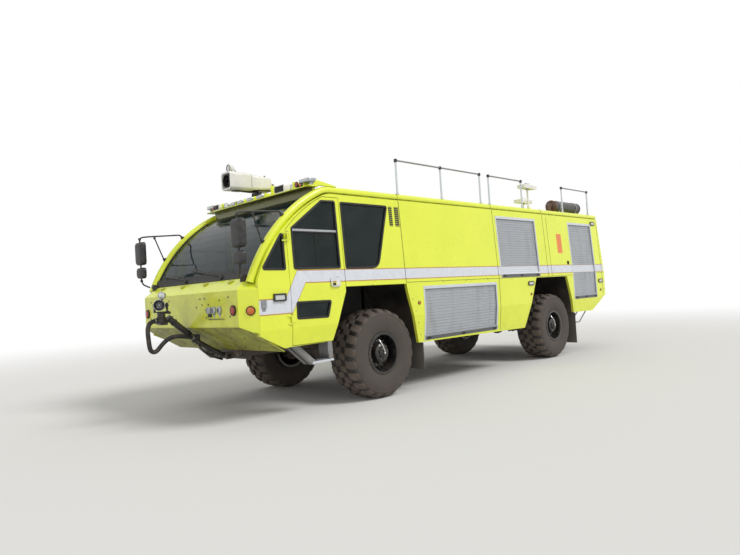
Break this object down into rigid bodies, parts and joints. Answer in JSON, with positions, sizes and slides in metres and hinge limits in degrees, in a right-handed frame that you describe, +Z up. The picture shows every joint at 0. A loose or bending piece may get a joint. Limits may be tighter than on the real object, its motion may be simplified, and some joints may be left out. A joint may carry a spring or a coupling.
{
  "type": "airport fire truck",
  "caption": "Airport fire truck with forward cab, locker body, roller shutters, turning wheels, steering, doors, roof turret and bumper monitor boom.",
  "frame": {"origin": "on the ground below the middle of the vehicle, halfway between the bend of the monitor hose and the rear face", "axes": "+X forward, +Y to the left, +Z up"},
  "size_m": [10.578, 3.106, 3.7148],
  "materials": {
    "lime_paint": "gloss",
    "white_paint": "satin",
    "frame_black": "satin",
    "rim_black": "gloss",
    "tyre": "matte",
    "tinted_glass": "polished",
    "shutter_aluminium": "satin",
    "rail_aluminium": "brushed",
    "engine_iron": "matte",
    "muffler_steel": "heat stained",
    "flap_rubber": "matte",
    "hose_rubber": "matte",
    "black_plastic": "matte",
    "seat_fabric": "woven",
    "cab_lining": "matte",
    "lamp_plastic": "clear"
  },
  "bodies": {
    "root": {"chassis": "frame_black", "front_axle": "frame_black", "rear_axle": "frame_black", "engine": "engine_iron", "cab_floor": "cab_lining", "cab_side_left": "lime_paint", "cab_side_right": "lime_paint", "cab_roof": "lime_paint", "cab_rear_wall": "lime_paint", "nose": "lime_paint", "skid_plate": "lime_paint", "roof_tubes": "lime_paint", "windscreen": "tinted_glass", "side_glass": "tinted_glass", "dashboard": "black_plastic", "seats": "seat_fabric", "light_bar": "lime_paint", "body_left": "lime_paint", "body_right": "lime_paint", "roof_deck": "lime_paint", "rear_panel": "lime_paint", "body_floor": "frame_black", "shutters": "shutter_aluminium", "railings": "rail_aluminium", "muffler": "muffler_steel", "mirrors": "black_plastic", "steps": "rail_aluminium", "mud_flaps": "flap_rubber", "lamps": "lamp_plastic"},
    "knuckle_left": {"knuckle_left": "frame_black"},
    "knuckle_right": {"knuckle_right": "frame_black"},
    "tie_rod": {"tie_rod": "frame_black"},
    "wheel_front_left": {"tyre_front_left": "tyre", "rim_front_left": "rim_black"},
    "wheel_front_right": {"tyre_front_right": "tyre", "rim_front_right": "rim_black"},
    "wheel_rear_left": {"tyre_rear_left": "tyre", "rim_rear_left": "rim_black"},
    "wheel_rear_right": {"tyre_rear_right": "tyre", "rim_rear_right": "rim_black"},
    "door_left": {"door_left": "lime_paint", "door_left_glass": "tinted_glass"},
    "door_right": {"door_right": "lime_paint", "door_right_glass": "tinted_glass"},
    "turret_swivel": {"turret_swivel": "frame_black"},
    "turret": {"turret": "white_paint"},
    "boom": {"boom": "frame_black", "hose": "hose_rubber"},
    "monitor_swivel": {"monitor_swivel": "frame_black"},
    "monitor": {"monitor": "frame_black"},
    "mast_front": {"mast_front": "white_paint"},
    "mast_rear": {"mast_rear": "white_paint"}
  },
  "joints": [
    {"name": "steer_left", "type": "hinge", "parent": "root", "child": "knuckle_left", "pos_m": [2.27, 0.94, 0.67], "axis": [0, 0, 1], "range_deg": [-30, 30]},
    {"name": "steer_right", "type": "hinge", "parent": "root", "child": "knuckle_right", "pos_m": [2.27, -0.94, 0.67], "axis": [0, 0, 1], "range_deg": [-30, 30]},
    {"name": "tie_rod_pivot", "type": "hinge", "parent": "knuckle_left", "child": "tie_rod", "pos_m": [2.08, 0.94, 0.59], "axis": [0, 0, 1], "range_deg": [-30, 30]},
    {"name": "wheel_front_left_spin", "type": "hinge", "parent": "knuckle_left", "child": "wheel_front_left", "pos_m": [2.27, 1.172, 0.67], "axis": [0, 1, 0], "continuous": true},
    {"name": "wheel_front_right_spin", "type": "hinge", "parent": "knuckle_right", "child": "wheel_front_right", "pos_m": [2.27, -1.172, 0.67], "axis": [0, 1, 0], "continuous": true},
    {"name": "wheel_rear_left_spin", "type": "hinge", "parent": "root", "child": "wheel_rear_left", "pos_m": [-2.89, 1.172, 0.67], "axis": [0, 1, 0], "continuous": true},
    {"name": "wheel_rear_right_spin", "type": "hinge", "parent": "root", "child": "wheel_rear_right", "pos_m": [-2.89, -1.172, 0.67], "axis": [0, 1, 0], "continuous": true},
    {"name": "door_left_hinge", "type": "hinge", "parent": "root", "child": "door_left", "pos_m": [4.023, 1.54, 1.84], "axis": [0, 0, -1], "range_deg": [0, 75]},
    {"name": "door_right_hinge", "type": "hinge", "parent": "root", "child": "door_right", "pos_m": [4.023, -1.54, 1.84], "axis": [0, 0, 1], "range_deg": [0, 75]},
    {"name": "turret_yaw", "type": "hinge", "parent": "root", "child": "turret_swivel", "pos_m": [3.2, -0.33, 3.18], "axis": [0, 0, 1], "range_deg": [-90, 90]},
    {"name": "turret_tilt", "type": "hinge", "parent": "turret_swivel", "child": "turret", "pos_m": [3.2, -0.33, 3.302], "axis": [0, -1, 0], "range_deg": [-10, 50]},
    {"name": "boom_lower", "type": "hinge", "parent": "root", "child": "boom", "pos_m": [4.12, 0, 0.8], "axis": [0, 1, 0], "range_deg": [0, 30]},
    {"name": "monitor_yaw", "type": "hinge", "parent": "boom", "child": "monitor_swivel", "pos_m": [5.06, 0, 1.44], "axis": [0, 0, 1], "range_deg": [-120, 0]},
    {"name": "monitor_tilt", "type": "hinge", "parent": "monitor_swivel", "child": "monitor", "pos_m": [5.06, 0, 1.59], "axis": [0.866, -0.5, 0], "range_deg": [-30, 60]},
    {"name": "mast_front_slide", "type": "slide", "parent": "root", "child": "mast_front", "axis": [0, 0, -1], "range_m": [0, 0.36]},
    {"name": "mast_rear_slide", "type": "slide", "parent": "root", "child": "mast_rear", "axis": [0, 0, 1], "range_m": [0, 0.4]}
  ],
  "couplings": [
    {"joint": "steer_right", "follows": "steer_left", "ratio": 1},
    {"joint": "tie_rod_pivot", "follows": "steer_left", "ratio": -1}
  ]
}
